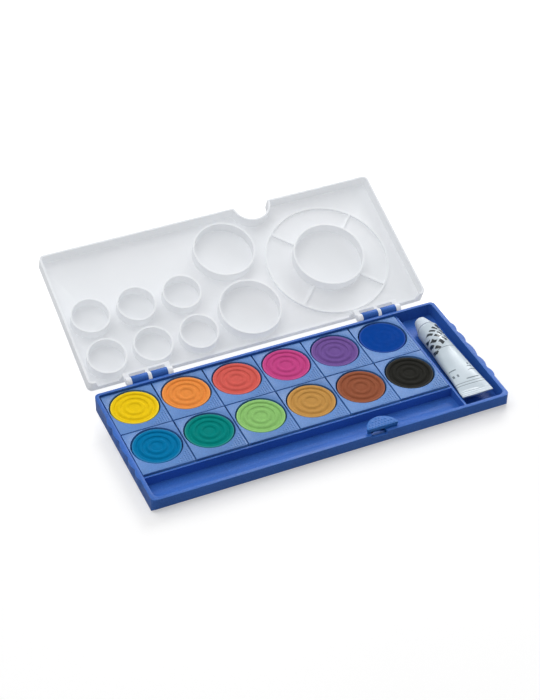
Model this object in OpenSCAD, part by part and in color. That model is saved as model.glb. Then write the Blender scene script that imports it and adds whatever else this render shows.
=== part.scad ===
// Twelve-colour watercolour pan set: a flat blue case with loose pans, a brush
// trough, a tube of opaque white and a hinged mixing-palette lid, shown open.
// Origin: centre of the case's underside. +X right, +Y towards the hinges, +Z up.

/* [Pans] */
// Diameter of one pressed paint cake
cake_d = 30.4; // [27:0.1:31]
// Width of one pan, along X
pan_w = 33.4; // [33.2:0.1:33.5]
// Depth of one pan, along Y
pan_d = 37.4; // [36:0.05:37.5]
// Height of one pan
pan_h = 7.8; // [6.8:0.1:8.2]
// Diameter of the round well in a pan
well_d = 32.2; // [31.6:0.1:32.4]
// Thickness of a pan under its well
pan_floor = 1.1; // [0.8:0.1:1.6]
// Raised grip dots along each leg of the triangle on a pan's corner
grip_dots = 7; // [0:1:7]
// How far the cake's face lies below the pan's top
cake_drop = 0.35; // [0.2:0.05:2]

/* [Case] */
// Outer width of the case
case_w = 239.1; // [239:0.1:242]
// Outer depth of the case
case_d = 102.7; // [102.6:0.1:104]
// Height of the case to its rim
case_h = 10.4; // [10:0.1:11.5]
// Thickness of the case floor
case_floor = 1.1; // [0.9:0.1:1.4]
// Thickness of the side walls
side_wall = 2.4; // [2:0.1:2.4]
// Thickness of the back wall
back_wall = 1.8; // [1.4:0.1:1.8]
// Thickness of the front wall
front_wall = 2.2; // [2:0.1:2.4]
// Height of the walls around the pan bay
bay_wall_h = 7.6; // [6:0.1:7.7]
// Rise of the curved front side of the brush trough
cove_rise = 8.3; // [6:0.1:8.6]

/* [Latch] */
// Centre of the latch tab along X
latch_x = 31.75; // [20:0.25:36]
// Radius of the half-round latch tab
latch_r = 10.6; // [9:0.1:11]
// Height of the tab's top above the table
latch_top = 13.4; // [12.5:0.1:14]
// Travel of the tab when it is pressed
latch_travel = 1.5; // [1:0.1:1.8]

/* [Lid] */
// Outer width of the lid
lid_w = 238.4; // [237:0.1:239]
// Outer depth of the lid
lid_d = 100.7; // [100:0.1:101]
// Outer height of the lid
lid_h = 9.65; // [9.6:0.05:12]
// Thickness of the lid's walls and roof
lid_t = 1.3; // [1.1:0.1:1.6]
// Height of the lid's low back wall, measured from the roof
lid_lip = 4; // [3:0.1:6]
// Angle by which the lid is shown open
lid_open = 159; // [0:1:159]
// Height of the mixing wells' walls
mix_wall_h = 8; // [5:0.5:8.5]
// Height of the low ring and its four dividers
low_wall_h = 1.6; // [1:0.1:2.4]

/* [Hinge] */
// Radius of the hinge pins
pin_r = 1.2; // [1:0.05:1.4]
// Radial clearance around the hinge pins
pin_clear = 0.05; // [0.03:0.01:0.1]
// Outer radius of the hinge barrels and lugs
barrel_r = 2.9; // [2.6:0.05:3]
// Length of one hinge barrel
barrel_len = 10.7; // [8:0.1:12]
// Distance of each hinge from the case's middle
hinge_x = 81; // [60:1:90]

/* [Tube] */
// Diameter of the tube's round end
tube_d = 14.6; // [13:0.1:14.6]
// Overall length of the tube with its cap
tube_len = 78.7; // [70:0.1:80]
// Width of the folded end of the tube
crimp_w = 21.6; // [19:0.1:21.6]
// Length of the cap
cap_len = 9.5; // [9:0.1:12]

/* [Hidden] */
$fn = 64;
// Overlap of joined shapes, and overshoot of cutting shapes
eps = 0.01;
over = 1;
// Depth by which walls, lobes and brackets reach into their neighbour
root = 0.5;

// Pan grid: six columns and two rows, numbered from the back left
columns = 6;
pan_gap_x = 1;
pan_gap_y = 0.9;
bay_gap = 1.1;
bay_gap_y = 0.6;
pitch_x = pan_w + pan_gap_x;
pitch_y = pan_d + pan_gap_y;
grid_left = -case_w / 2 + side_wall + bay_gap;
grid_back = case_d / 2 - back_wall - bay_gap_y;
grid_right = grid_left + columns * pitch_x - pan_gap_x;
grid_front = grid_back - 2 * pan_d - pan_gap_y;
pan_top = case_floor + pan_h;
well_back_margin = 0.3;
pan_wall = 0.9;
wall_thin = 1.3;

// Grip dots
dot_pitch = 1.6;
dot_inset = 0.8;
dot_r = 0.42;
dot_h = 0.22;
dot_margin = 1.26;
tab_dot_pitch = 2.1;

// Relief of a cake's face: depth of its rings, and the rings from the edge inwards,
// each as a share of the cake's radius and 1 where the face is low
cake_relief = 0.4;
worn_relief = 0.15;
cake_chamfer = 0.6;
cake_rings = [
    [0.86, 0], [0.80, 1], [0.78, 1], [0.67, 0], [0.60, 0],
    [0.54, 1], [0.49, 1], [0.37, 0], [0.32, 0], [0.22, 1]
];

// Compartments of the case
inner_x = case_w / 2 - side_wall;
inner_back = case_d / 2 - back_wall;
inner_front = -case_d / 2 + front_wall;
trough_back = grid_front - bay_gap_y - wall_thin;
divider_x = grid_right + bay_gap;
corner_r = 3.3;
inner_r_back = 1.8;
inner_r_front = 4;
front_bevel = 3;
cove_run = 13.9;
cove_r = (cove_run * cove_run + cove_rise * cove_rise) / (2 * cove_rise);
cove_start = inner_front + cove_run;

// Finger lobes on the sides: position along Y, and length
lobes = [[-2.5, 14], [11, 11], [-16, 11], [22.5, 9], [-27.5, 9]];
lobe_out = 1.15;
lobe_low = 4.4;
lobe_root = 1.2;

// Latch: a half-round cap with a thin skirt, open below and at its front
latch_cy = inner_front - 1.4;
latch_front = inner_front + 0.2;
latch_low = case_floor + latch_travel + 0.4;
latch_skin = 1.2;
latch_roof = 1.5;
latch_brim = 0.4;
latch_brim_h = 1.4;
latch_gap = 0.3;
slot_w = 10.6;
slot_x = latch_x - 3.2;
slot_low = 8.2;
latch_slot_low = slot_low - 2;
latch_slot_high = latch_top - 2.4;

// Hinge axis, and the lid in its closed place
axis_y = case_d / 2 + 3.6;
axis_z = case_h - 0.32;
hinge_gap = 2.6;
lug_w = 2.2;
outer_lug_w = 3.4;
outer_lug_r = barrel_r - 0.4;
lug_gap = 0.2;
lug_span = hinge_gap / 2 + barrel_len + lug_gap + outer_lug_w / 2;
bracket_h = 6;
snap_w = 1.6;
pin_inset = 1;
lid_back = case_d / 2 - 1.95;
lid_low = case_h + 0.05;
lid_top = lid_low + lid_h;
lid_front = lid_back - lid_d;
lid_corner = 4.4;
lip_slope = 2;
notch_r = 12.2;
small_r = 13;
small_x = [-101.35, -69.8, -38.1];
small_v = [16.85, 48.35];
large_r = 21;
large_x = 1;
large_v = [24.45, 71.75];
ring_x = 68.05;
ring_v = 47.85;
ring_r = 42.5;
ring_in_r = 24.3;
ring_t = 1.1;

// Tube, lying along Y with its cap towards the hinges
part_gap = 0.05;
tube_x = 102.85;
tube_z = case_floor + tube_d / 2 + part_gap;
tube_end = 37.75;
neck_r = 3.2;
neck_len = 7.6;
orifice_r = 1.3;
skin = 0.3;
crimp_len = 4.5;
crimp_t = 1.3;
slice = 0.2;
cap_gap = 0.15;
cap_room = 0.2;
cone_len = 1.95;
cone_r = 6.1;
cone_out_r = tube_d / 2 - 0.2;
plug_len = 1.55;
plug_clear = 0.02;
straight_len = 18;
cap_top_r = 4.1;
cap_low_r = 6.4;
cap_round = 0.8;
shoulder_y = tube_end - cap_len - cap_gap;
sleeve_y = shoulder_y - cone_len - part_gap;
round_end = sleeve_y - straight_len;
crimp_y = tube_end - tube_len + crimp_len;

// Upright block from y0 to y1, centred on X, with rounded plan corners
module rounded_block(w, y0, y1, h, r_front, r_back) {
    translate([-w / 2, y0 + r_front, 0]) cube([w, y1 - y0 - r_front - r_back, h]);
    translate([-w / 2 + r_front, y0, 0]) cube([w - 2 * r_front, r_front + eps, h]);
    translate([-w / 2 + r_back, y1 - r_back - eps, 0]) cube([w - 2 * r_back, r_back + eps, h]);
    for (side = [-1, 1]) {
        translate([side * (w / 2 - r_front), y0 + r_front, 0]) cylinder(r = r_front, h = h);
        translate([side * (w / 2 - r_back), y1 - r_back, 0]) cylinder(r = r_back, h = h);
    }
}

// Cylinder lying along X, centred on its middle
module x_rod(r, len) {
    rotate([0, 90, 0]) cylinder(r = r, h = len, center = true);
}

// Cylinder or cone lying along Y, from y0 towards -Y
module y_rod(r1, r2, len) {
    rotate([90, 0, 0]) cylinder(r1 = r1, r2 = r2, h = len);
}

// Half-round block behind the plane y = front, around the latch centre
module latch_block(r, front, low, high) {
    intersection() {
        translate([latch_x, latch_cy, low]) cylinder(r = r, h = high - low);
        translate([latch_x - r - over, front, low]) cube([2 * (r + over), r + over, high - low]);
    }
}

module case_body() {
    difference() {
        rounded_block(case_w, -case_d / 2, case_d / 2, case_h, corner_r, corner_r);
        // sloping edge below the front wall
        translate([-case_w / 2 - over, -case_d / 2, 0]) rotate([90, 0, 90])
            linear_extrude(case_w + 2 * over)
                polygon([[-over, -over], [front_bevel + over, -over], [-over, front_bevel + over]]);
    }
}

// Finger lobes along one side wall
module side_lobes(side) {
    for (lobe = lobes) {
        r = (lobe[1] * lobe[1] / 4 + lobe_out * lobe_out) / (2 * lobe_out);
        intersection() {
            translate([side * (case_w / 2 + lobe_out - r), lobe[0], lobe_low])
                cylinder(r = r, h = case_h - lobe_low, $fn = 96);
            translate([side * case_w / 2 - lobe_root, lobe[0] - lobe[1], lobe_low])
                cube([2 * lobe_root, 2 * lobe[1], case_h - lobe_low]);
        }
    }
}

// Low walls between the pan bay, the brush trough and the tube compartment
module compartment_walls() {
    translate([-inner_x - root, trough_back, case_floor - eps])
        cube([divider_x + inner_x + root + wall_thin, wall_thin, bay_wall_h - case_floor + eps]);
    translate([divider_x, inner_front - root, case_floor - eps])
        cube([wall_thin, inner_back - inner_front + 2 * root, bay_wall_h - case_floor + eps]);
}

// Curved front side of the brush trough, along which a brush rolls out
module trough_cove() {
    difference() {
        translate([-inner_x - root, inner_front - root, case_floor - eps])
            cube([divider_x + inner_x + root, cove_run + root, cove_rise + eps]);
        translate([0, cove_start, case_floor + cove_r]) x_rod(cove_r, 2 * case_w);
    }
}

// One hinge on the case: two split barrels on a bracket
module case_hinge(cx) {
    for (side = [-1, 1])
        translate([cx + side * (hinge_gap + barrel_len) / 2, axis_y, axis_z])
            difference() {
                union() {
                    x_rod(barrel_r, barrel_len);
                    translate([-barrel_len / 2, case_d / 2 - axis_y - root, -bracket_h])
                        cube([barrel_len, axis_y - case_d / 2 - snap_w / 2, bracket_h]);
                }
                x_rod(pin_r + pin_clear, barrel_len + over);
                // snap slot below the pin, narrower than the pin
                translate([-barrel_len, -snap_w / 2, -2 * barrel_r])
                    cube([2 * barrel_len, snap_w, 2 * barrel_r]);
            }
}

module case_tray() {
    color("royalblue") {
        difference() {
            union() {
                difference() {
                    union() {
                        case_body();
                        side_lobes(-1);
                        side_lobes(1);
                    }
                    translate([0, 0, case_floor])
                        rounded_block(2 * inner_x, inner_front, inner_back, case_h,
                                      inner_r_front, inner_r_back);
                }
                compartment_walls();
                trough_cove();
            }
            // pocket for the latch tab, and the opening in the front wall
            latch_block(latch_r + latch_gap, inner_front, case_floor, case_h + over);
            translate([slot_x - slot_w / 2, -case_d / 2 - over, slot_low])
                cube([slot_w, front_wall + 2 * over, case_h]);
        }
        case_hinge(-hinge_x);
        case_hinge(hinge_x);
    }
}

// Grip dots in staggered rows on the latch tab
module latch_dots() {
    reach = latch_r - dot_margin;
    rows = floor(latch_r / tab_dot_pitch);
    for (i = [-rows : rows], j = [0 : rows]) {
        dx = (i + (j % 2) / 2) * tab_dot_pitch;
        y = latch_front + dot_margin + j * tab_dot_pitch;
        if (norm([dx, y - latch_cy]) < reach)
            translate([latch_x + dx, y, latch_top - eps]) cylinder(r = dot_r, h = dot_h, $fn = 16);
    }
}

module latch_tab() {
    skirt_r = latch_r - latch_brim;
    color("cornflowerblue") {
        latch_dots();
        difference() {
            union() {
                latch_block(skirt_r, latch_front, latch_low, latch_top - latch_brim_h + eps);
                latch_block(latch_r, latch_front, latch_top - latch_brim_h, latch_top);
            }
            latch_block(skirt_r - latch_skin, latch_front + latch_skin,
                        latch_low - over, latch_top - latch_roof);
            translate([slot_x - slot_w / 2 + latch_brim, latch_front - over, latch_slot_low])
                cube([slot_w - 2 * latch_brim, latch_skin + 2 * over, latch_slot_high - latch_slot_low]);
        }
    }
}

// Round mixing well hanging from the roof of the closed lid
module mixing_well(x, v, r, h) {
    translate([x, lid_back - v, lid_top - lid_t - h])
        difference() {
            cylinder(r = r, h = h + eps);
            translate([0, 0, -over]) cylinder(r = r - ring_t, h = h + over);
        }
}

// Three lugs with a pin through them, on the lid's back wall
module lid_lugs(cx) {
    pin_len = 2 * lug_span + outer_lug_w;
    translate([cx, axis_y, axis_z]) {
        x_rod(pin_r, pin_len - 2 * pin_inset);
        for (lug = [[-lug_span, outer_lug_w, outer_lug_r], [0, lug_w, barrel_r],
                    [lug_span, outer_lug_w, outer_lug_r]])
            translate([lug[0], 0, 0]) {
                x_rod(lug[2], lug[1]);
                translate([-lug[1] / 2, lid_back - axis_y - lid_t / 2, lid_low - axis_z])
                    cube([lug[1], axis_y - lid_back + lid_t / 2, lug[2] - lid_low + axis_z]);
            }
    }
}

// Opening below the low back wall of the closed lid, from x0 to x1, with sloping ends
module lip_opening(x0, x1) {
    low = lid_low - over;
    high = lid_top - lid_lip;
    translate([0, lid_back + over, 0]) rotate([90, 0, 0])
        linear_extrude(lid_t + 2 * over)
            polygon([[x0, low], [x1, low], [x1, lid_low], [x1 - lip_slope, high],
                     [x0 + lip_slope, high], [x0, lid_low]]);
}

module lid_shell() {
    difference() {
        translate([0, 0, lid_low]) rounded_block(lid_w, lid_front, lid_back, lid_h, corner_r, corner_r);
        difference() {
            translate([0, 0, lid_low - over])
                rounded_block(lid_w - 2 * lid_t, lid_front + lid_t, lid_back - lid_t,
                              lid_h + over - lid_t, corner_r - lid_t, corner_r - lid_t);
            // wall that follows the thumb notch
            translate([latch_x, lid_front, lid_low - 2 * over])
                cylinder(r = notch_r + lid_t, h = lid_h + 4 * over);
        }
        translate([latch_x, lid_front, lid_low - over]) cylinder(r = notch_r, h = lid_h + 2 * over);
        lip_opening(-lid_w / 2 + lid_corner, -hinge_x - lug_span - outer_lug_w / 2);
        lip_opening(-hinge_x + lug_span + outer_lug_w / 2, hinge_x - lug_span - outer_lug_w / 2);
        lip_opening(hinge_x + lug_span + outer_lug_w / 2, lid_w / 2 - lid_corner);
    }
}

module palette_closed() {
    lid_shell();
    for (x = small_x, v = small_v) mixing_well(x, v, small_r, mix_wall_h);
    for (v = large_v) mixing_well(large_x, v, large_r, mix_wall_h);
    mixing_well(ring_x, ring_v, ring_in_r, mix_wall_h);
    mixing_well(ring_x, ring_v, ring_r, low_wall_h);
    for (a = [45 : 90 : 315])
        translate([ring_x, lid_back - ring_v, lid_top - lid_t - low_wall_h])
            rotate([0, 0, a]) translate([ring_in_r - root, -ring_t / 2, 0])
                cube([ring_r - ring_in_r, ring_t, low_wall_h + eps]);
    lid_lugs(-hinge_x);
    lid_lugs(hinge_x);
}

module palette_lid() {
    color("white", 0.75)
        translate([0, axis_y, axis_z]) rotate([-lid_open, 0, 0]) translate([0, -axis_y, -axis_z])
            palette_closed();
}

// Centre of the well of pan k, counted along the back row and then the front row
function well_pos(k) = [
    grid_left + pan_w / 2 + (k % columns) * pitch_x,
    grid_back - well_back_margin - well_d / 2 - floor(k / columns) * pitch_y
];

// Loose square pan with a round well, hollow below its corners
module pan(k) {
    c = well_pos(k);
    left = c[0] - pan_w / 2;
    back = c[1] + well_d / 2 + well_back_margin;
    front = back - pan_d;
    color("lightsteelblue") {
        difference() {
            translate([left, front, case_floor]) cube([pan_w, pan_d, pan_h]);
            translate([c[0], c[1], case_floor + pan_floor]) cylinder(d = well_d, h = pan_h, $fn = 96);
            difference() {
                translate([left + pan_wall, front + pan_wall, case_floor - over])
                    cube([pan_w - 2 * pan_wall, pan_d - 2 * pan_wall, pan_h + over - pan_wall]);
                translate([c[0], c[1], case_floor - 2 * over])
                    cylinder(d = well_d + 2 * pan_wall, h = pan_h + 2 * over, $fn = 96);
            }
        }
        // raised dots on the front right corner, to press when taking the pan out
        if (grip_dots > 0)
            for (i = [0 : grip_dots - 1], j = [0 : grip_dots - 1 - i]) {
                x = left + pan_w - (i + dot_inset) * dot_pitch;
                y = front + (j + dot_inset) * dot_pitch;
                if (norm([x - c[0], y - c[1]]) > well_d / 2 + 2 * dot_r)
                    translate([x, y, pan_top - eps]) cylinder(r = dot_r, h = dot_h, $fn = 16);
            }
    }
}

// Pressed paint cake with two raised rings around a shallow middle
module cake(k, tone, relief) {
    c = well_pos(k);
    r = cake_d / 2;
    base = case_floor + pan_floor;
    top = pan_top - cake_drop;
    color(tone)
        translate([c[0], c[1], 0])
            rotate_extrude($fn = 96)
                polygon([
                    [0, base], [r, base], [r, top - cake_chamfer], [r - cake_chamfer, top],
                    for (ring = cake_rings) [r * ring[0], top - relief * ring[1]],
                    [0, top - relief]
                ]);
}

// Round body of the tube that flattens towards its folded end; both halves are
// faceted alike, so that they meet on the same outline
module tube_body(inset, from_y) {
    round_r = tube_d / 2 - inset;
    flat_w = crimp_w - 2 * inset;
    flat_t = crimp_t - 2 * inset;
    hull() translate([tube_x, from_y, tube_z]) y_rod(round_r, round_r, from_y - round_end);
    hull() {
        translate([tube_x, round_end + slice, tube_z]) y_rod(round_r, round_r, slice);
        translate([tube_x - flat_w / 2, crimp_y + inset, tube_z - flat_t / 2])
            cube([flat_w, slice, flat_t]);
    }
}

module tube_sleeve() {
    color("whitesmoke")
        union() {
            difference() {
                tube_body(0, sleeve_y);
                tube_body(skin, sleeve_y + over);
            }
            translate([tube_x - crimp_w / 2, crimp_y - crimp_len, tube_z - crimp_t / 2])
                cube([crimp_w, crimp_len + slice, crimp_t]);
        }
}

module tube_paint() {
    color("white") tube_body(skin + part_gap, sleeve_y - plug_len);
}

module tube_shoulder() {
    plug_r = tube_d / 2 - skin - plug_clear;
    color("gainsboro")
        difference() {
            union() {
                translate([tube_x, shoulder_y + neck_len, tube_z]) y_rod(neck_r, neck_r, neck_len + root);
                translate([tube_x, shoulder_y, tube_z]) y_rod(cone_r, cone_out_r, cone_len);
                translate([tube_x, shoulder_y - cone_len, tube_z]) y_rod(plug_r, plug_r, plug_len);
            }
            translate([tube_x, shoulder_y + neck_len + over, tube_z])
                y_rod(orifice_r, orifice_r, neck_len + cone_len + plug_len + 2 * over);
        }
}

module tube_cap() {
    bore_r = neck_r + pin_clear;
    color("white")
        difference() {
            union() {
                translate([tube_x, tube_end, tube_z]) y_rod(cap_top_r - cap_round, cap_top_r, cap_round);
                translate([tube_x, tube_end - cap_round, tube_z])
                    y_rod(cap_top_r, cap_low_r, cap_len - cap_round);
            }
            translate([tube_x, tube_end - cap_len + neck_len + cap_room, tube_z])
                y_rod(bore_r, bore_r, neck_len + over);
        }
}

case_tray();
latch_tab();
palette_lid();
pan(0);  // pan_yellow
pan(1);  // pan_orange
pan(2);  // pan_red
pan(3);  // pan_magenta
pan(4);  // pan_violet
pan(5);  // pan_ultramarine
pan(6);  // pan_turquoise
pan(7);  // pan_green
pan(8);  // pan_yellow_green
pan(9);  // pan_ochre
pan(10);  // pan_brown
pan(11);  // pan_black
cake(0, "gold", cake_relief);  // cake_yellow
cake(1, "darkorange", cake_relief);  // cake_orange
cake(2, "tomato", cake_relief);  // cake_red
cake(3, "mediumvioletred", cake_relief);  // cake_magenta
cake(4, "rebeccapurple", cake_relief);  // cake_violet
cake(5, "navy", worn_relief);  // cake_ultramarine
cake(6, "darkcyan", cake_relief);  // cake_turquoise
cake(7, "seagreen", cake_relief);  // cake_green
cake(8, "yellowgreen", cake_relief);  // cake_yellow_green
cake(9, "peru", cake_relief);  // cake_ochre
cake(10, "sienna", cake_relief);  // cake_brown
cake(11, "black", cake_relief);  // cake_black
tube_sleeve();
tube_shoulder();
tube_cap();
tube_paint();
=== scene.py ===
"""Looks for the watercolour pan set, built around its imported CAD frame.

Metres, in the frame of the CAD: +X right, +Y towards the hinges, +Z up.
The case, the latch, the lid, the pans, the tube's shoulder and its cap are CAD nodes with
rounded edges and procedural materials. The paint cakes, the tube's sleeve and the paint in
it are meshes made here.
"""

import math

import bmesh
import bpy
from mathutils import Matrix, Vector, noise


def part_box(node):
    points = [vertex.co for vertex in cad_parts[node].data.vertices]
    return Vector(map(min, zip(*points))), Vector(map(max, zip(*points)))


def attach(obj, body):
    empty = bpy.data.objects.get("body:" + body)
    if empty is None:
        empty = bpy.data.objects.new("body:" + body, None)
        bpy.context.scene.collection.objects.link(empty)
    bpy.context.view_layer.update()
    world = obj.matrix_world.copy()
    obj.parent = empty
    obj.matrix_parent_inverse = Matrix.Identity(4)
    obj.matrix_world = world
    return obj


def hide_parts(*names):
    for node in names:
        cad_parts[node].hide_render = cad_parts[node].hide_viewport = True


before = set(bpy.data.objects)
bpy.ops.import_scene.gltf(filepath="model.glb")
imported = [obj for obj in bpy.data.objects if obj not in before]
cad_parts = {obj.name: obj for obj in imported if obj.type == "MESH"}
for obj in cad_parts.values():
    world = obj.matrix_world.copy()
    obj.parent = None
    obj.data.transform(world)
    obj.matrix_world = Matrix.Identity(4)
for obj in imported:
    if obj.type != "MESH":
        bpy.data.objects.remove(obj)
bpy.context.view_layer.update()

MM = 0.001

# Camera, in degrees, metres and, for its lens, mm. It looks at a point above the table, just
# behind the case's middle
VIEW_AZIMUTH = 24.25
VIEW_ELEVATION = 39.66
VIEW_ROLL = 0.54
VIEW_DISTANCE = 1116.7 * MM
VIEW_TARGET = Vector((-0.5, 48.3, 10.0)) * MM
VIEW_LENS = 89.15
VIEW_CLIP = (0.01, 100.0)

# The floor's glow in front of the case and behind it, and where it changes along Y
FLOOR_GLOW = 0.43
FLOOR_GLOW_BACK = 0.78
GLOW_START = 20.0 * MM
GLOW_END = 54.0 * MM
# Its glow far from the case, and the distances between which it grows to that
FLOOR_GLOW_FAR = 0.9
FAR_START = 300.0 * MM
FAR_END = 1200.0 * MM

# Light scattered inside the milky lid, on its floors and on its outer face, with the walls in
# between
LID_GLOW = 0.36
LID_OUTER_GLOW = 0.24
# How many degrees the open lid leans back, and the way its floors face then
LID_LEAN = 21
LID_FACING = (0.0, -math.sin(math.radians(LID_LEAN)), math.cos(math.radians(LID_LEAN)))

# The lid's tints, as sRGB bytes: floors, their denser clouds, walls and outer face darkened
# as painted shade, and edges lightened as painted highlight
LID_TINTS = ((209, 210, 213), (201, 204, 207), (196, 198, 201), (184, 187, 191), (238, 242, 243))
LID_GLOW_TINT = (240, 242, 245)
LID_THROUGH_TINT = (252, 253, 254)
# How far its edges take their painted highlight, the share of light that passes through, the
# roughness of its smoothest and dullest places, and its index of refraction
LID_EDGE_HIGHLIGHT = 0.5
LID_THROUGH = 0.35
LID_ROUGH = (0.28, 0.42)
LID_IOR = 1.49
# Its surface: depth and strength of the bumps, and the ripples' share of them
LID_BUMPS = (0.02 * MM, 0.6)
LID_RIPPLES = 1.5
# Cosines between a surface and a direction, from which and up to which it counts as facing it
FACING = (0.3, 0.8)

# Moulded plastics: colour as sRGB bytes, mean roughness, depth of the bumps, how far rubbing
# and a painted highlight show along the edges, and strength of the reflections
CASE_PLASTIC = ((51, 100, 184), 0.4, 0.012 * MM, 0.5, 0.2)
LATCH_PLASTIC = ((30, 99, 180), 0.42, 0.02 * MM, 0.4, 0.25)
PAN_PLASTIC = ((76, 122, 186), 0.46, 0.03 * MM, 0.2, 0.4)
TUBE_PLASTIC = ((208, 219, 232), 0.38, 0.01 * MM, 0.0, 0.5)
# For all of them: brightness of pale specks and of edges paled by rubbing and painted
# highlight, and of flow marks, what that paleness adds to the colour, how far the roughness
# goes below and above its mean, the bumps' strength, and the ripples' share of them
PALE_GAIN = 1.3
PALE_LIFT = (0.02, 0.07, 0.12)
FLOW_GAIN = 0.86
ROUGH_SPREAD = (-0.06, 0.08)
BUMP_STRENGTH = 0.7
RIPPLES = 0.5
# Noise values between which pale specks come in, the most they show, and the least share of
# an edge's rubbing and painted highlight that shows
SPECK_STEP = (0.45, 0.75)
SPECK_MOST = 0.35
EDGE_PALE_LEAST = 0.3

# Paint cakes: brightness of dark mottles and of the pits' painted shade, of powder and of the
# painted rim highlight, what that highlight gains, its strength, the pits' number a metre and
# their size, the roughness range and the reflections' strength
PIT_GAIN = 0.8
POWDER_GAIN = 1.15
RIM_GAIN = 1.25
RIM_LIFT = 0.045
RIM_STRENGTH = 0.75
PIT_CELLS = 1500.0
PIT_SIZE = 0.28
PAINT_ROUGH = (0.5, 0.68)
PAINT_SHINE = 0.02
# Noise values between which mottles and powder come in, and how much they show
MOTTLE_STEP = (0.35, 0.68)
MOTTLE_RANGE = (0.4, 1.0)
POWDER_STEP = (0.42, 0.72)
POWDER_RANGE = (0.0, 0.3)
# Its surface: depth and strength of the bumps, and the pits' share of them
PAINT_BUMPS = (0.05 * MM, 0.8)
PIT_SHARE = 0.4

# The tube's print: its whites and inks as sRGB bytes, its roughness range and its coat
TUBE_WHITES = ((184, 198, 207), (198, 210, 219))
INK = (20, 34, 42)
PALE_INK = (96, 112, 124)
PRINT_ROUGH = (0.26, 0.4)
PRINT_COAT = 0.2
# Its surface: depth and strength of the bumps, and the grain's share of them
PRINT_BUMPS = (0.25 * MM, 0.5)
GRAIN_SHARE = 0.1
# The paint inside it: tints, roughness, depth and strength of the bumps
PASTE_TINTS = ((232, 232, 228), (250, 250, 248))
PASTE_ROUGH = 0.35
PASTE_BUMPS = (0.2 * MM, 0.5)

# The floor's tints and roughness
FLOOR_TINTS = ((196, 196, 196), (202, 202, 202))
FLOOR_ROUGH = 0.95

# Noise patterns, by what they draw: cells a metre, detail and roughness
PATTERNS = {
    "flow": (22.0, 2.0, 0.5),
    "speck": (1400.0, 2.0, 0.5),
    "edge_patches": (160.0, 3.0, 0.5),
    "gloss": (60.0, 4.0, 0.6),
    "grain": (2600.0, 2.0, 0.5),
    "ripple": (420.0, 3.0, 0.5),
    "lid_cloud": (14.0, 3.0, 0.5),
    "lid_gloss": (45.0, 4.0, 0.6),
    "lid_grain": (1800.0, 2.0, 0.5),
    "lid_ripple": (130.0, 3.0, 0.5),
    "mottle": (420.0, 4.0, 0.6),
    "powder": (2300.0, 3.0, 0.65),
    "paint_gloss": (300.0, 3.0, 0.5),
    "paint_grain": (1500.0, 4.0, 0.65),
    "stroke_drift": (110.0, 1.0, 0.5),
    "print_cloud": (60.0, 3.0, 0.5),
    "print_gloss": (90.0, 3.0, 0.5),
    "print_dents": (70.0, 3.0, 0.5),
    "print_grain": (900.0, 2.0, 0.5),
    "paste_cloud": (120.0, 3.0, 0.5),
    "paste_grain": (300.0, 3.0, 0.5),
    "floor_cloud": (3.0, 2.0, 0.5),
}
# Noise values between which a pattern comes in: an even change, and a softer one
EVEN = (0.35, 0.65)
SOFT = (0.3, 0.7)
NONE_TO_FULL = (0.0, 1.0)

# Depth of the rings pressed into a fresh cake, and into the one that is almost smooth
CAKE_RELIEF = 0.75 * MM
WORN_RELIEF = 0.08 * MM

# Tube: skin, straight round part, fold length and half thickness, points around it, loops
# along its taper, depth of its dents
SLEEVE_SKIN = 0.3 * MM
TUBE_ROUND = 18.0 * MM
FOLD_LENGTH = 4.5 * MM
FOLD_HALF = 0.65 * MM
TUBE_SEGMENTS = 96
TUBE_ROWS = 44
TUBE_DENT = 0.12
# How square the fold's section is, the pull of the taper's curve, and the dents' frequency
# (per mm)
FOLD_SQUARE = 0.42
TAPER_PULL = 0.06
DENT_FREQUENCY = 0.09
# Loops of the fold, the loops from one crease to the next and its depth, the waves' height,
# their turn (radians) per mm and per loop, and the flare
FOLD_STEPS = 18
CREASE_EVERY = 6
CREASE_DEPTH = 0.16 * MM
WAVE_HEIGHT = 0.2 * MM
WAVE_ALONG = 0.29
WAVE_SHIFT = 0.12
FLARE = 0.105 * MM
# Gap between the paint and the sleeve around it, and at the fold
PASTE_GAP = 0.08 * MM
PASTE_END_GAP = 0.3 * MM

# Surround light, from the viewer's side and from behind the case, and where the latter is
WORLD_FRONT = 0.12
WORLD_BACK = 0.62
WORLD_TOWARDS = Vector((0.25, 0.72, 0.65))

# Softboxes: place and size in metres, and power in watts
KEY_LIGHT = ((1.00, 1.22, 1.20), (1.0, 0.8), 17.5)
TOP_LIGHT = ((-0.45, 0.3, 1.65), (1.4, 1.2), 12.0)

# Half the floor's width in metres, its cells along each side, and its drop below the case
FLOOR_HALF = 6.0
FLOOR_CELLS = 4
FLOOR_DROP = 0.05 * MM

# Edge rounding of the CAD nodes, and the distance at which their doubled points are joined
CASE_ROUND = 0.45 * MM
LATCH_ROUND = 0.35 * MM
LID_ROUND = 0.3 * MM
PAN_ROUND = 0.18 * MM
SHOULDER_ROUND = 0.15 * MM
CAP_ROUND = 0.3 * MM
WELD_DISTANCE = 0.002 * MM
# Edges sharper than this many degrees are rounded, in this many steps, or in fewer on a small
# round
SHARP_ANGLE = 32
ROUND_SEGMENTS = 3
SMALL_SEGMENTS = 2
# Width of the band along an edge that takes rubbing and painted highlight, the normal's change
# that counts as a full edge, and the samples taken to find it
EDGE_BAND = 0.5 * MM
EDGE_FULL = 0.35
BEVEL_SAMPLES = 4

# Paint colours, as sRGB bytes of dry paint in full light
PAINTS = {
    "yellow": (232, 196, 20),
    "orange": (229, 140, 66),
    "red": (208, 92, 84),
    "magenta": (191, 68, 130),
    "violet": (110, 80, 147),
    "ultramarine": (0, 62, 148),
    "turquoise": (0, 114, 164),
    "green": (0, 128, 122),
    "yellow_green": (138, 190, 110),
    "ochre": (189, 141, 74),
    "brown": (145, 83, 58),
    "black": (38, 38, 35),
}
WORN_PAINT = "ultramarine"

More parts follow.
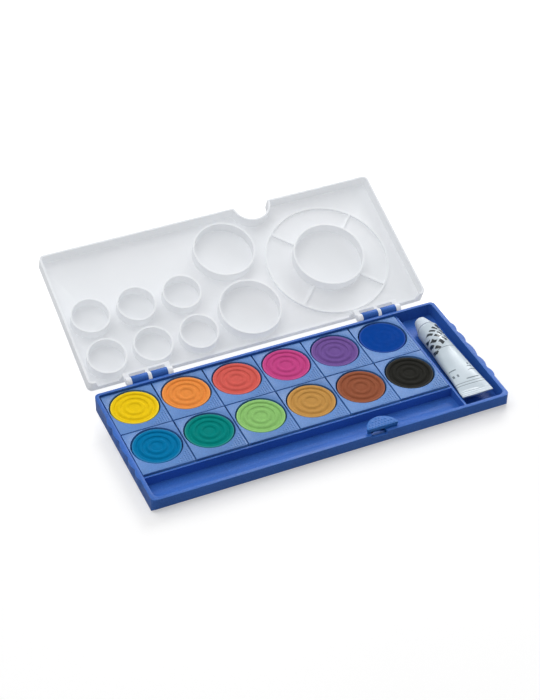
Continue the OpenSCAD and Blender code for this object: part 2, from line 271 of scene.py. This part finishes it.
# Pressed rings of a cake from its edge to its middle: share of the radius, and depth as a
# share of the full relief. A wide slope falls outwards from each ridge, a steep one rises.
CAKE_RINGS = (
    (0.86, 0.0), (0.80, 0.95), (0.79, 1.0), (0.665, 0.0), (0.60, 0.05), (0.545, 0.8),
    (0.485, 0.9), (0.365, 0.0), (0.32, 0.1), (0.22, 0.9), (0.0, 0.8),
)
# A cake's mesh: points around it, loops across its radius, and where the loops stop
CAKE_SEGMENTS = 160
CAKE_STEPS = 90
CAKE_LAST_STEP = 85
# Its rounded edge, the angles of that edge's loops, and the bevel under the cake
CAKE_EDGE = 0.55 * MM
CAKE_EDGE_ANGLES = (15, 35, 55, 75, 90)
CAKE_FOOT_HEIGHT = 0.3 * MM
CAKE_FOOT_INSET = 0.25 * MM
# Its face lies this many mm lower than the CAD cake's, so that its wobble stays under it
CAKE_SINK = 0.07
# Height (mm) and frequency (per mm) of its slow and quick wobble, and their pull on the rings
WOBBLES = ((0.05, 0.35), (0.02, 1.6))
RING_WOBBLE = 0.06
# Share of the radius where the painted rim highlight starts, and over which it comes in
RIM_START = 0.93
RIM_WIDTH = 0.04
# Step in the noise from one cake to the next, so that no two wobble alike
SEED_STEP = 7.3

# Print on the tube. Rows of bold slanted strokes, in shares of the sleeve's length: middle,
# half height, start and end across the width
STROKE_ROWS = ((0.90, 0.034, 0.12, 0.85), (0.81, 0.034, 0.08, 0.92), (0.72, 0.034, 0.06, 0.90))
# The strokes' spacing, their share of it, the rows' slant, the strokes' lean and their drift
STROKE_PITCH = 3.2 * MM
STROKE_SHARE = 0.52
STROKE_SLANT = 0.22
STROKE_LEAN = 0.6
STROKE_DRIFT = 1.6
# Thin rules: middle along the tube, half height, start and end across
THIN_RULES = (
    (0.135, 0.003, 0.02, 0.98), (0.165, 0.003, 0.02, 0.98), (0.20, 0.006, 0.45, 0.85),
    (0.262, 0.016, 0.10, 0.16), (0.262, 0.016, 0.24, 0.30), (0.34, 0.006, 0.10, 0.32),
    (0.30, 0.006, 0.66, 0.90), (0.345, 0.006, 0.70, 0.86), (0.38, 0.012, 0.75, 0.80),
    (0.645, 0.003, 0.04, 0.90),
)


def linear(byte):
    """One sRGB byte as a linear value."""
    s = byte / 255
    return s / 12.92 if s <= 0.04045 else ((s + 0.055) / 1.055) ** 2.4


def rgb(colour):
    """A linear RGBA tuple from three sRGB bytes."""
    return tuple(linear(c) for c in colour) + (1.0,)


# ---------------------------------------------------------------- materials


class Shader:
    """A material's node tree, with short calls to add and join nodes."""

    def __init__(self, name):
        self.material = bpy.data.materials.new(name)
        self.material.use_nodes = True
        self.tree = self.material.node_tree
        self.principled = self.tree.nodes["Principled BSDF"]
        self.output = self.tree.nodes["Material Output"]

    def add(self, kind, settings=None, **inputs):
        """A new node, with its settings and its inputs' values or links."""
        node = self.tree.nodes.new(kind)
        for key, value in (settings or {}).items():
            setattr(node, key, value)
        for key, value in inputs.items():
            self.feed(node, key.replace("_", " "), value)
        return node

    def feed(self, node, key, value):
        """Gives an input a value, or links it to another node's output."""
        socket = node.inputs[int(key) if key.isdigit() else key]
        if isinstance(value, bpy.types.NodeSocket):
            self.tree.links.new(value, socket)
        else:
            socket.default_value = value

    def coords(self):
        """Object coordinates, which for every piece are the row frame in metres."""
        return self.add("ShaderNodeTexCoord").outputs["Object"]

    def noise(self, pattern):
        """Noise from 0 to 1 in one of PATTERNS."""
        cells, detail, roughness = PATTERNS[pattern]
        node = self.add("ShaderNodeTexNoise", Scale=cells, Detail=detail, Roughness=roughness,
                        Vector=self.coords())
        return node.outputs["Fac"]

    def remap(self, value, low, high, to_low, to_high):
        """value between low and high, mapped to another range and held inside it."""
        node = self.add("ShaderNodeMapRange", {"clamp": True})
        for key, number in zip(("Value", "From Min", "From Max", "To Min", "To Max"),
                               (value, low, high, to_low, to_high)):
            self.feed(node, key, number)
        return node.outputs["Result"]

    def math(self, operation, a, b=0.0):
        """One arithmetic step."""
        node = self.add("ShaderNodeMath", {"operation": operation})
        self.feed(node, "0", a)
        self.feed(node, "1", b)
        return node.outputs["Value"]

    def blend(self, factor, a, b):
        """Colour a towards colour b by factor."""
        node = self.add("ShaderNodeMix", {"data_type": "RGBA"})
        self.feed(node, "0", factor)
        self.feed(node, "6", a)
        self.feed(node, "7", b)
        return node.outputs[2]

    def bump(self, height, distance, strength):
        """A normal from a height field whose full step is distance, in metres."""
        node = self.add("ShaderNodeBump", Strength=strength, Distance=distance, Height=height)
        return node.outputs["Normal"]

    def facing(self, direction):
        """1 on surfaces facing a direction in the piece's own frame, 0 on walls and backs."""
        own = self.add("ShaderNodeTexCoord").outputs["Normal"]
        node = self.add("ShaderNodeVectorMath", {"operation": "DOT_PRODUCT"})
        self.feed(node, "0", own)
        self.feed(node, "1", direction)
        return self.remap(node.outputs["Value"], *FACING, *NONE_TO_FULL)

    def edge_mask(self):
        """1 along convex and concave edges, 0 on open surfaces."""
        bevel = self.add("ShaderNodeBevel", {"samples": BEVEL_SAMPLES}, Radius=EDGE_BAND)
        hard = self.add("ShaderNodeNewGeometry").outputs["Normal"]
        node = self.add("ShaderNodeVectorMath", {"operation": "DISTANCE"})
        self.feed(node, "0", bevel.outputs["Normal"])
        self.feed(node, "1", hard)
        return self.remap(node.outputs["Value"], 0.0, EDGE_FULL, *NONE_TO_FULL)

    def surface(self, **inputs):
        """Sets inputs of the Principled shader."""
        for key, value in inputs.items():
            self.feed(self.principled, key.replace("_", " "), value)


def scaled(colour, factor, lift=0.0):
    """A linear colour times a factor, lifted a little, and held below white."""
    return tuple(min(1.0, c * factor + lift) for c in colour[:3]) + (1.0,)


def moulded_plastic(name, colour, roughness, depth, edge, shine):
    """Injection-moulded plastic: spark-eroded grain, flow marks, edges paled by rubbing and
    painted highlight.
    """
    s = Shader(name)
    base = rgb(colour)
    pale = [min(1.0, c * PALE_GAIN + extra) for c, extra in zip(base, PALE_LIFT)] + [1.0]
    flow = s.remap(s.noise("flow"), *EVEN, *NONE_TO_FULL)
    speck = s.remap(s.noise("speck"), *SPECK_STEP, 0.0, SPECK_MOST)
    tint = s.blend(speck, s.blend(flow, scaled(base, FLOW_GAIN), base), pale)
    edge_patches = s.remap(s.noise("edge_patches"), *SOFT, EDGE_PALE_LEAST, 1.0)
    # Pale edges: partly rubbing, partly a painted highlight
    edge_wear_and_highlight = s.math("MULTIPLY", s.math("MULTIPLY", s.edge_mask(), edge_patches), edge)
    smoothest, dullest = (roughness + change for change in ROUGH_SPREAD)
    gloss = s.remap(s.noise("gloss"), *SOFT, smoothest, dullest)
    height = s.math("ADD", s.noise("grain"), s.math("MULTIPLY", s.noise("ripple"), RIPPLES))
    s.surface(Base_Color=s.blend(edge_wear_and_highlight, tint, pale), Roughness=gloss, Specular_IOR_Level=shine,
              Normal=s.bump(height, depth, BUMP_STRENGTH))
    return s.material


def milky_plastic(name):
    """Milky translucent polypropylene: light passes through it; painted shade darkens its walls
    and outer face and a painted highlight lightens its edges.
    """
    s = Shader(name)
    body, dense, wall_shade, back, rim = (rgb(tint) for tint in LID_TINTS)
    cloud = s.remap(s.noise("lid_cloud"), *EVEN, *NONE_TO_FULL)
    floor = s.facing(LID_FACING)
    outer = s.facing(tuple(-part for part in LID_FACING))
    # Painted shade: walls and the outer face get darker tints than the floors
    tint = s.blend(floor, wall_shade, s.blend(cloud, dense, body))
    tint = s.blend(outer, tint, back)
    # Painted highlight along the edges
    tint = s.blend(s.math("MULTIPLY", s.edge_mask(), LID_EDGE_HIGHLIGHT), tint, rim)
    gloss = s.remap(s.noise("lid_gloss"), *SOFT, *LID_ROUGH)
    ripple = s.math("MULTIPLY", s.noise("lid_ripple"), LID_RIPPLES)
    normal = s.bump(s.math("ADD", s.noise("lid_grain"), ripple), *LID_BUMPS)
    glow = s.remap(s.math("SUBTRACT", floor, outer), -1.0, 1.0, LID_OUTER_GLOW, LID_GLOW)
    s.surface(Base_Color=tint, Roughness=gloss, IOR=LID_IOR, Normal=normal)
    s.surface(Emission_Color=rgb(LID_GLOW_TINT), Emission_Strength=glow)
    through = s.add("ShaderNodeBsdfTranslucent", Color=rgb(LID_THROUGH_TINT), Normal=normal)
    mix = s.add("ShaderNodeMixShader", Fac=LID_THROUGH)
    s.feed(mix, "1", s.principled.outputs["BSDF"])
    s.feed(mix, "2", through.outputs["BSDF"])
    s.tree.links.new(mix.outputs["Shader"], s.output.inputs["Surface"])
    return s.material


def pressed_paint(name, colour):
    """A dry pressed cake: powdery pigment, tiny pits with painted shade, a painted rim highlight
    and next to no sheen.
    """
    s = Shader(name)
    base = rgb(colour)
    dark = scaled(base, PIT_GAIN)
    mottle = s.remap(s.noise("mottle"), *MOTTLE_STEP, *MOTTLE_RANGE)
    powder = s.remap(s.noise("powder"), *POWDER_STEP, *POWDER_RANGE)
    tint = s.blend(powder, s.blend(mottle, dark, base), scaled(base, POWDER_GAIN))
    # Painted highlight on the cake's rounded rim
    rim = s.add("ShaderNodeAttribute", {"attribute_name": "rim"}).outputs["Fac"]
    rim = s.math("MULTIPLY", rim, RIM_STRENGTH)
    tint = s.blend(rim, tint, scaled(base, RIM_GAIN, RIM_LIFT))
    pits = s.add("ShaderNodeTexVoronoi", {"feature": "F1"}, Scale=PIT_CELLS, Vector=s.coords())
    face = s.remap(pits.outputs["Distance"], 0.0, PIT_SIZE, *NONE_TO_FULL)
    # Painted shade in the pits
    tint = s.blend(s.math("SUBTRACT", 1.0, face), tint, dark)
    gloss = s.remap(s.noise("paint_gloss"), *EVEN, *PAINT_ROUGH)
    height = s.math("ADD", s.noise("paint_grain"), s.math("MULTIPLY", face, PIT_SHARE))
    s.surface(Base_Color=tint, Roughness=gloss, Specular_IOR_Level=PAINT_SHINE,
              Normal=s.bump(height, *PAINT_BUMPS))
    return s.material


def tube_print(name, low, high):
    """Lacquered tube with a generic print of slanted strokes and rules, and no lettering."""
    s = Shader(name)
    dense, white = (rgb(tint) for tint in TUBE_WHITES)
    place = s.add("ShaderNodeSeparateXYZ", Vector=s.coords())
    share = s.remap(place.outputs["Y"], low.y, high.y, *NONE_TO_FULL)
    across = s.remap(place.outputs["X"], low.x, high.x, *NONE_TO_FULL)
    top_side = s.math("GREATER_THAN", place.outputs["Z"], (low.z + high.z) / 2)

    def between(value, start, end):
        above = s.math("GREATER_THAN", value, start)
        return s.math("MULTIPLY", above, s.math("LESS_THAN", value, end))

    def stamp(tint, mask, colour):
        return s.blend(s.math("MULTIPLY", mask, top_side), tint, colour)

    tint = s.blend(s.remap(s.noise("print_cloud"), *SOFT, *NONE_TO_FULL), dense, white)
    slant = s.math("SUBTRACT", share, s.math("MULTIPLY", across, STROKE_SLANT))
    drift = s.math("MULTIPLY", s.noise("stroke_drift"), STROKE_DRIFT)
    lean = s.math("MULTIPLY", slant, (high.y - low.y) * STROKE_LEAN / STROKE_PITCH)
    shift = s.math("ADD", lean, drift)
    phase = s.math("ADD", s.math("DIVIDE", place.outputs["X"], STROKE_PITCH), shift)
    stroke = s.math("LESS_THAN", s.math("FRACT", phase), STROKE_SHARE)
    for middle, half, start, end in STROKE_ROWS:
        row = between(slant, middle - STROKE_SLANT / 2 - half, middle - STROKE_SLANT / 2 + half)
        row = s.math("MULTIPLY", row, between(across, start, end))
        tint = stamp(tint, s.math("MULTIPLY", row, stroke), rgb(INK))
    for middle, half, start, end in THIN_RULES:
        rule = between(share, middle - half, middle + half)
        rule = s.math("MULTIPLY", rule, between(across, start, end))
        tint = stamp(tint, rule, rgb(PALE_INK))
    gloss = s.remap(s.noise("print_gloss"), *SOFT, *PRINT_ROUGH)
    grain = s.math("MULTIPLY", s.noise("print_grain"), GRAIN_SHARE)
    height = s.math("ADD", s.noise("print_dents"), grain)
    s.surface(Base_Color=tint, Roughness=gloss, Normal=s.bump(height, *PRINT_BUMPS))
    s.surface(Coat_Weight=PRINT_COAT, Coat_Roughness=PRINT_COAT)
    return s.material


def white_paste(name):
    """Opaque white paint inside the tube."""
    s = Shader(name)
    tint = s.blend(s.noise("paste_cloud"), *(rgb(tint) for tint in PASTE_TINTS))
    normal = s.bump(s.noise("paste_grain"), *PASTE_BUMPS)
    s.surface(Base_Color=tint, Roughness=PASTE_ROUGH, Normal=normal)
    return s.material


def studio_floor(name):
    """Pale lit sweep: the camera sees it glow a little, more behind the case and far away."""
    s = Shader(name)
    tint = s.blend(s.noise("floor_cloud"), *(rgb(tint) for tint in FLOOR_TINTS))
    seen = s.add("ShaderNodeLightPath").outputs["Is Camera Ray"]
    place = s.add("ShaderNodeSeparateXYZ", Vector=s.coords())
    near = s.remap(place.outputs["Y"], GLOW_START, GLOW_END, FLOOR_GLOW, FLOOR_GLOW_BACK)
    away = s.add("ShaderNodeVectorMath", {"operation": "LENGTH"})
    s.feed(away, "0", s.coords())
    far = s.remap(away.outputs["Value"], FAR_START, FAR_END, FLOOR_GLOW, FLOOR_GLOW_FAR)
    glow = s.math("MAXIMUM", near, far)
    s.surface(Base_Color=tint, Roughness=FLOOR_ROUGH, Specular_IOR_Level=0.0)
    s.surface(Emission_Color=(1.0, 1.0, 1.0, 1.0),
              Emission_Strength=s.math("MULTIPLY", seen, glow))
    return s.material


# ---------------------------------------------------------------- mesh tools


def new_piece(name, bm, material, body):
    """Turns a bmesh into a named smooth piece that rides on a body."""
    bmesh.ops.recalc_face_normals(bm, faces=bm.faces)
    mesh = bpy.data.meshes.new(name)
    bm.to_mesh(mesh)
    bm.free()
    for polygon in mesh.polygons:
        polygon.use_smooth = True
    piece = bpy.data.objects.new(name, mesh)
    bpy.context.scene.collection.objects.link(piece)
    piece.data.materials.append(material)
    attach(piece, body)
    return piece


def loft(bm, loops, cap_start=True):
    """Quads between closed loops of points, with a flat end and, if asked, a flat start."""
    rows = [[bm.verts.new(p) for p in loop] for loop in loops]
    count = len(rows[0])
    for lower, upper in zip(rows, rows[1:]):
        for i in range(count):
            j = (i + 1) % count
            bm.faces.new((lower[i], lower[j], upper[j], upper[i]))
    if cap_start:
        bm.faces.new(list(reversed(rows[0])))
    bm.faces.new(rows[-1])
    return rows


def split_large_faces(bm):
    """Cuts the flat ends of a loft into triangles."""
    bmesh.ops.triangulate(bm, faces=[f for f in bm.faces if len(f.verts) > 4])


def circle(centre, radius, z, segments):
    """Points of a level circle."""
    turns = [2 * math.pi * k / segments for k in range(segments)]
    return [(centre.x + radius * math.cos(a), centre.y + radius * math.sin(a), z) for a in turns]


def set_material(node, material):
    """Gives a CAD node one material."""
    mesh_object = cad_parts[node]
    mesh_object.data.materials.clear()
    mesh_object.data.materials.append(material)


def soften(node, width, segments=ROUND_SEGMENTS):
    """Rounds a CAD node's edges with modifiers, which leave its own mesh alone."""
    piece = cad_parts[node]
    weld = piece.modifiers.new("weld", "WELD")
    weld.merge_threshold = WELD_DISTANCE
    bevel = piece.modifiers.new("round", "BEVEL")
    bevel.width = width
    bevel.segments = segments
    bevel.limit_method = "ANGLE"
    bevel.angle_limit = math.radians(SHARP_ANGLE)
    bevel.use_clamp_overlap = True
    bevel.harden_normals = True
    for polygon in piece.data.polygons:
        polygon.use_smooth = True


# ---------------------------------------------------------------- pieces


def cake_profile(share, drop):
    """Depth below the face at a share of the radius, along the pressed rings."""
    for (outer, outer_depth), (inner, inner_depth) in zip(CAKE_RINGS, CAKE_RINGS[1:]):
        if share >= inner:
            t = min(1.0, max(0.0, (outer - share) / (outer - inner)))
            return drop * (outer_depth + (inner_depth - outer_depth) * t * t * (3 - 2 * t))
    return drop * CAKE_RINGS[-1][1]


def paint_cake(colour, seed):
    """A pressed paint cake with crisp but worn rings, in place of the plain CAD cake."""
    node = "cake_" + colour
    low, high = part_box(node)
    centre = (low + high) / 2
    radius = (high.x - low.x) / 2
    drop = WORN_RELIEF if colour == WORN_PAINT else CAKE_RELIEF
    loops = []
    for step in range(1, CAKE_LAST_STEP + 1):
        share = step / CAKE_STEPS
        loop = []
        for x, y, _ in circle(centre, radius * share, high.z, CAKE_SEGMENTS):
            here = Vector((x, y, seed)) / MM
            wobble = sum(size * noise.noise(here * pace) for size, pace in WOBBLES)
            depth = cake_profile(share + wobble * RING_WOBBLE, drop)
            loop.append((x, y, high.z - depth + (wobble - CAKE_SINK) * MM))
        loops.append(loop)
    for angle in CAKE_EDGE_ANGLES:
        turn = math.radians(angle)
        r = radius - CAKE_EDGE * (1 - math.sin(turn))
        z = high.z - CAKE_SINK * MM - CAKE_EDGE * (1 - math.cos(turn))
        loops.append(circle(centre, r, z, CAKE_SEGMENTS))
    loops.append(circle(centre, radius, low.z + CAKE_FOOT_HEIGHT, CAKE_SEGMENTS))
    loops.append(circle(centre, radius - CAKE_FOOT_INSET, low.z, CAKE_SEGMENTS))
    bm = bmesh.new()
    loft(bm, loops)
    split_large_faces(bm)
    # Mask for the painted rim highlight
    rim = bm.verts.layers.float.new("rim")
    for v in bm.verts:
        r = math.hypot(v.co.x - centre.x, v.co.y - centre.y) / radius
        v[rim] = min(1.0, max(0.0, (r - RIM_START) / RIM_WIDTH))
    piece = new_piece("paint_" + colour, bm, pressed_paint("paint_" + colour, PAINTS[colour]),
                      "pan_" + colour)
    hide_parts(node)


def tube_section(f, inset, y, dent=0.0):
    """Points around the tube at share f of the way from its round end to its fold."""
    low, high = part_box("tube_sleeve")
    centre_x, centre_z = (low.x + high.x) / 2, (low.z + high.z) / 2
    half_z = (high.z - low.z) / 2
    half_x = (high.x - low.x) / 2
    a = half_z + (half_x - half_z) * f - inset
    b = half_z + (FOLD_HALF - half_z) * f - inset
    power = 1.0 - FOLD_SQUARE * f
    points = []
    for k in range(TUBE_SEGMENTS):
        t = 2 * math.pi * k / TUBE_SEGMENTS
        c, s = math.cos(t), math.sin(t)
        x = a * math.copysign(abs(c) ** power, c)
        z = b * math.copysign(abs(s) ** power, s)
        depth = 0.5 + 0.5 * noise.noise(Vector((x, y, z)) / MM * DENT_FREQUENCY)
        push = dent * depth * math.sin(math.pi * f)
        points.append((centre_x + x, y, centre_z + z * (1 - push)))
    return points


def tube_loops(inset, start, round_end, fold):
    """Loops from y = start down to the fold, a little dented by use."""
    loops = [tube_section(0.0, inset, start)]
    for i in range(TUBE_ROWS + 1):
        f = i / TUBE_ROWS
        eased = f + TAPER_PULL * math.sin(2 * math.pi * f)
        loops.append(tube_section(eased, inset, round_end + (fold - round_end) * f, TUBE_DENT))
    return loops


def tube_pieces():
    """The sleeve with its folded end, and the paint inside, in place of their CAD solids."""
    low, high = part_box("tube_sleeve")
    round_end = high.y - TUBE_ROUND
    fold = low.y + FOLD_LENGTH
    centre_z = (low.z + high.z) / 2
    bm = bmesh.new()
    outer = tube_loops(0.0, high.y, round_end, fold)
    for step in range(1, FOLD_STEPS + 1):
        y = fold - FOLD_LENGTH * step / FOLD_STEPS
        crease = CREASE_DEPTH if step % CREASE_EVERY in (1, 2) else 0.0
        flare = FLARE * math.sin(math.pi * step / (2 * FOLD_STEPS))
        loop = []
        for x, _, z in tube_section(1.0, 0.0, y):
            wave = WAVE_HEIGHT * math.sin((x - low.x) / MM * WAVE_ALONG + step * WAVE_SHIFT)
            loop.append((x, y, z + wave + math.copysign(crease, z - centre_z) - flare))
        outer.append(loop)
    inner = tube_loops(SLEEVE_SKIN, high.y, round_end, fold)
    rows_out = loft(bm, outer, cap_start=False)
    rows_in = loft(bm, inner, cap_start=False)
    for i in range(TUBE_SEGMENTS):
        j = (i + 1) % TUBE_SEGMENTS
        bm.faces.new((rows_out[0][i], rows_out[0][j], rows_in[0][j], rows_in[0][i]))
    split_large_faces(bm)
    sleeve = new_piece("sleeve", bm, tube_print("tube_print", low, high), "tube")
    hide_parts("tube_sleeve")

    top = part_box("tube_paint")[1].y
    bm = bmesh.new()
    loft(bm, tube_loops(SLEEVE_SKIN + PASTE_GAP, top, round_end, fold + PASTE_END_GAP))
    split_large_faces(bm)
    paste = new_piece("paste", bm, white_paste("white_paste"), "tube")
    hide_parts("tube_paint")


def make_floor():
    """The pale floor, which isn't part of the object."""
    bm = bmesh.new()
    bmesh.ops.create_grid(bm, x_segments=FLOOR_CELLS, y_segments=FLOOR_CELLS, size=FLOOR_HALF)
    mesh = bpy.data.meshes.new("floor")
    bm.to_mesh(mesh)
    bm.free()
    floor = bpy.data.objects.new("floor", mesh)
    floor.location.z = -FLOOR_DROP
    bpy.context.scene.collection.objects.link(floor)
    floor.data.materials.append(studio_floor("paper_sweep"))


def make_world():
    """Surround light that is stronger behind the case, and a white sky for the camera."""
    world = bpy.data.worlds.new("studio")
    bpy.context.scene.world = world
    world.use_nodes = True
    nodes, links = world.node_tree.nodes, world.node_tree.links
    background = nodes["Background"]
    direction = nodes.new("ShaderNodeTexCoord").outputs["Generated"]
    toward = nodes.new("ShaderNodeVectorMath")
    toward.operation = "DOT_PRODUCT"
    links.new(direction, toward.inputs[0])
    toward.inputs[1].default_value = WORLD_TOWARDS.normalized()
    strength = nodes.new("ShaderNodeMapRange")
    links.new(toward.outputs["Value"], strength.inputs["Value"])
    strength.inputs["From Min"].default_value = -1.0
    strength.inputs["From Max"].default_value = 1.0
    strength.inputs["To Min"].default_value = WORLD_FRONT
    strength.inputs["To Max"].default_value = WORLD_BACK
    shown = nodes.new("ShaderNodeMath")
    shown.operation = "MAXIMUM"
    links.new(strength.outputs["Result"], shown.inputs[0])
    links.new(nodes.new("ShaderNodeLightPath").outputs["Is Camera Ray"], shown.inputs[1])
    background.inputs["Color"].default_value = (1.0, 1.0, 1.0, 1.0)
    links.new(shown.outputs["Value"], background.inputs["Strength"])


def softbox(name, place, size, power):
    """A rectangular lamp aimed at the case."""
    light = bpy.data.lights.new(name, "AREA")
    light.shape = "RECTANGLE"
    light.size, light.size_y = size
    light.energy = power
    lamp = bpy.data.objects.new(name, light)
    bpy.context.scene.collection.objects.link(lamp)
    lamp.location = place
    lamp.rotation_mode = "QUATERNION"
    lamp.rotation_quaternion = (-Vector(place)).to_track_quat("-Z", "Y")


def make_camera():
    """The camera, from its azimuth, elevation, roll and distance."""
    azimuth, elevation = math.radians(VIEW_AZIMUTH), math.radians(VIEW_ELEVATION)
    back = Vector((-math.sin(azimuth) * math.cos(elevation),
                   -math.cos(azimuth) * math.cos(elevation),
                   math.sin(elevation)))
    lens = bpy.data.cameras.new("camera")
    lens.lens = VIEW_LENS
    lens.clip_start, lens.clip_end = VIEW_CLIP
    camera = bpy.data.objects.new("camera", lens)
    bpy.context.scene.collection.objects.link(camera)
    camera.location = VIEW_TARGET + back * VIEW_DISTANCE
    camera.rotation_mode = "QUATERNION"
    aim = (-back).to_track_quat("-Z", "Y").to_matrix()
    roll = Matrix.Rotation(math.radians(VIEW_ROLL), 3, "Z")
    camera.rotation_quaternion = (aim @ roll).to_quaternion()
    bpy.context.scene.camera = camera
    bpy.context.scene.view_settings.view_transform = "Standard"


def finish_cad_nodes():
    """Materials and rounded edges for the CAD nodes that stay visible."""
    set_material("case_tray", moulded_plastic("case_blue", *CASE_PLASTIC))
    soften("case_tray", CASE_ROUND)
    set_material("latch_tab", moulded_plastic("latch_blue", *LATCH_PLASTIC))
    soften("latch_tab", LATCH_ROUND)
    set_material("palette_lid", milky_plastic("lid_milky"))
    soften("palette_lid", LID_ROUND)
    pan_plastic = moulded_plastic("pan_blue", *PAN_PLASTIC)
    for colour in PAINTS:
        set_material("pan_" + colour, pan_plastic)
        soften("pan_" + colour, PAN_ROUND, SMALL_SEGMENTS)
    tube_plastic = moulded_plastic("tube_plastic", *TUBE_PLASTIC)
    set_material("tube_shoulder", tube_plastic)
    soften("tube_shoulder", SHOULDER_ROUND, SMALL_SEGMENTS)
    set_material("tube_cap", tube_plastic)
    soften("tube_cap", CAP_ROUND)


make_floor()
make_world()
softbox("key", *KEY_LIGHT)
softbox("top", *TOP_LIGHT)
make_camera()
finish_cad_nodes()
for number, colour in enumerate(PAINTS):
    paint_cake(colour, number * SEED_STEP)
tube_pieces()
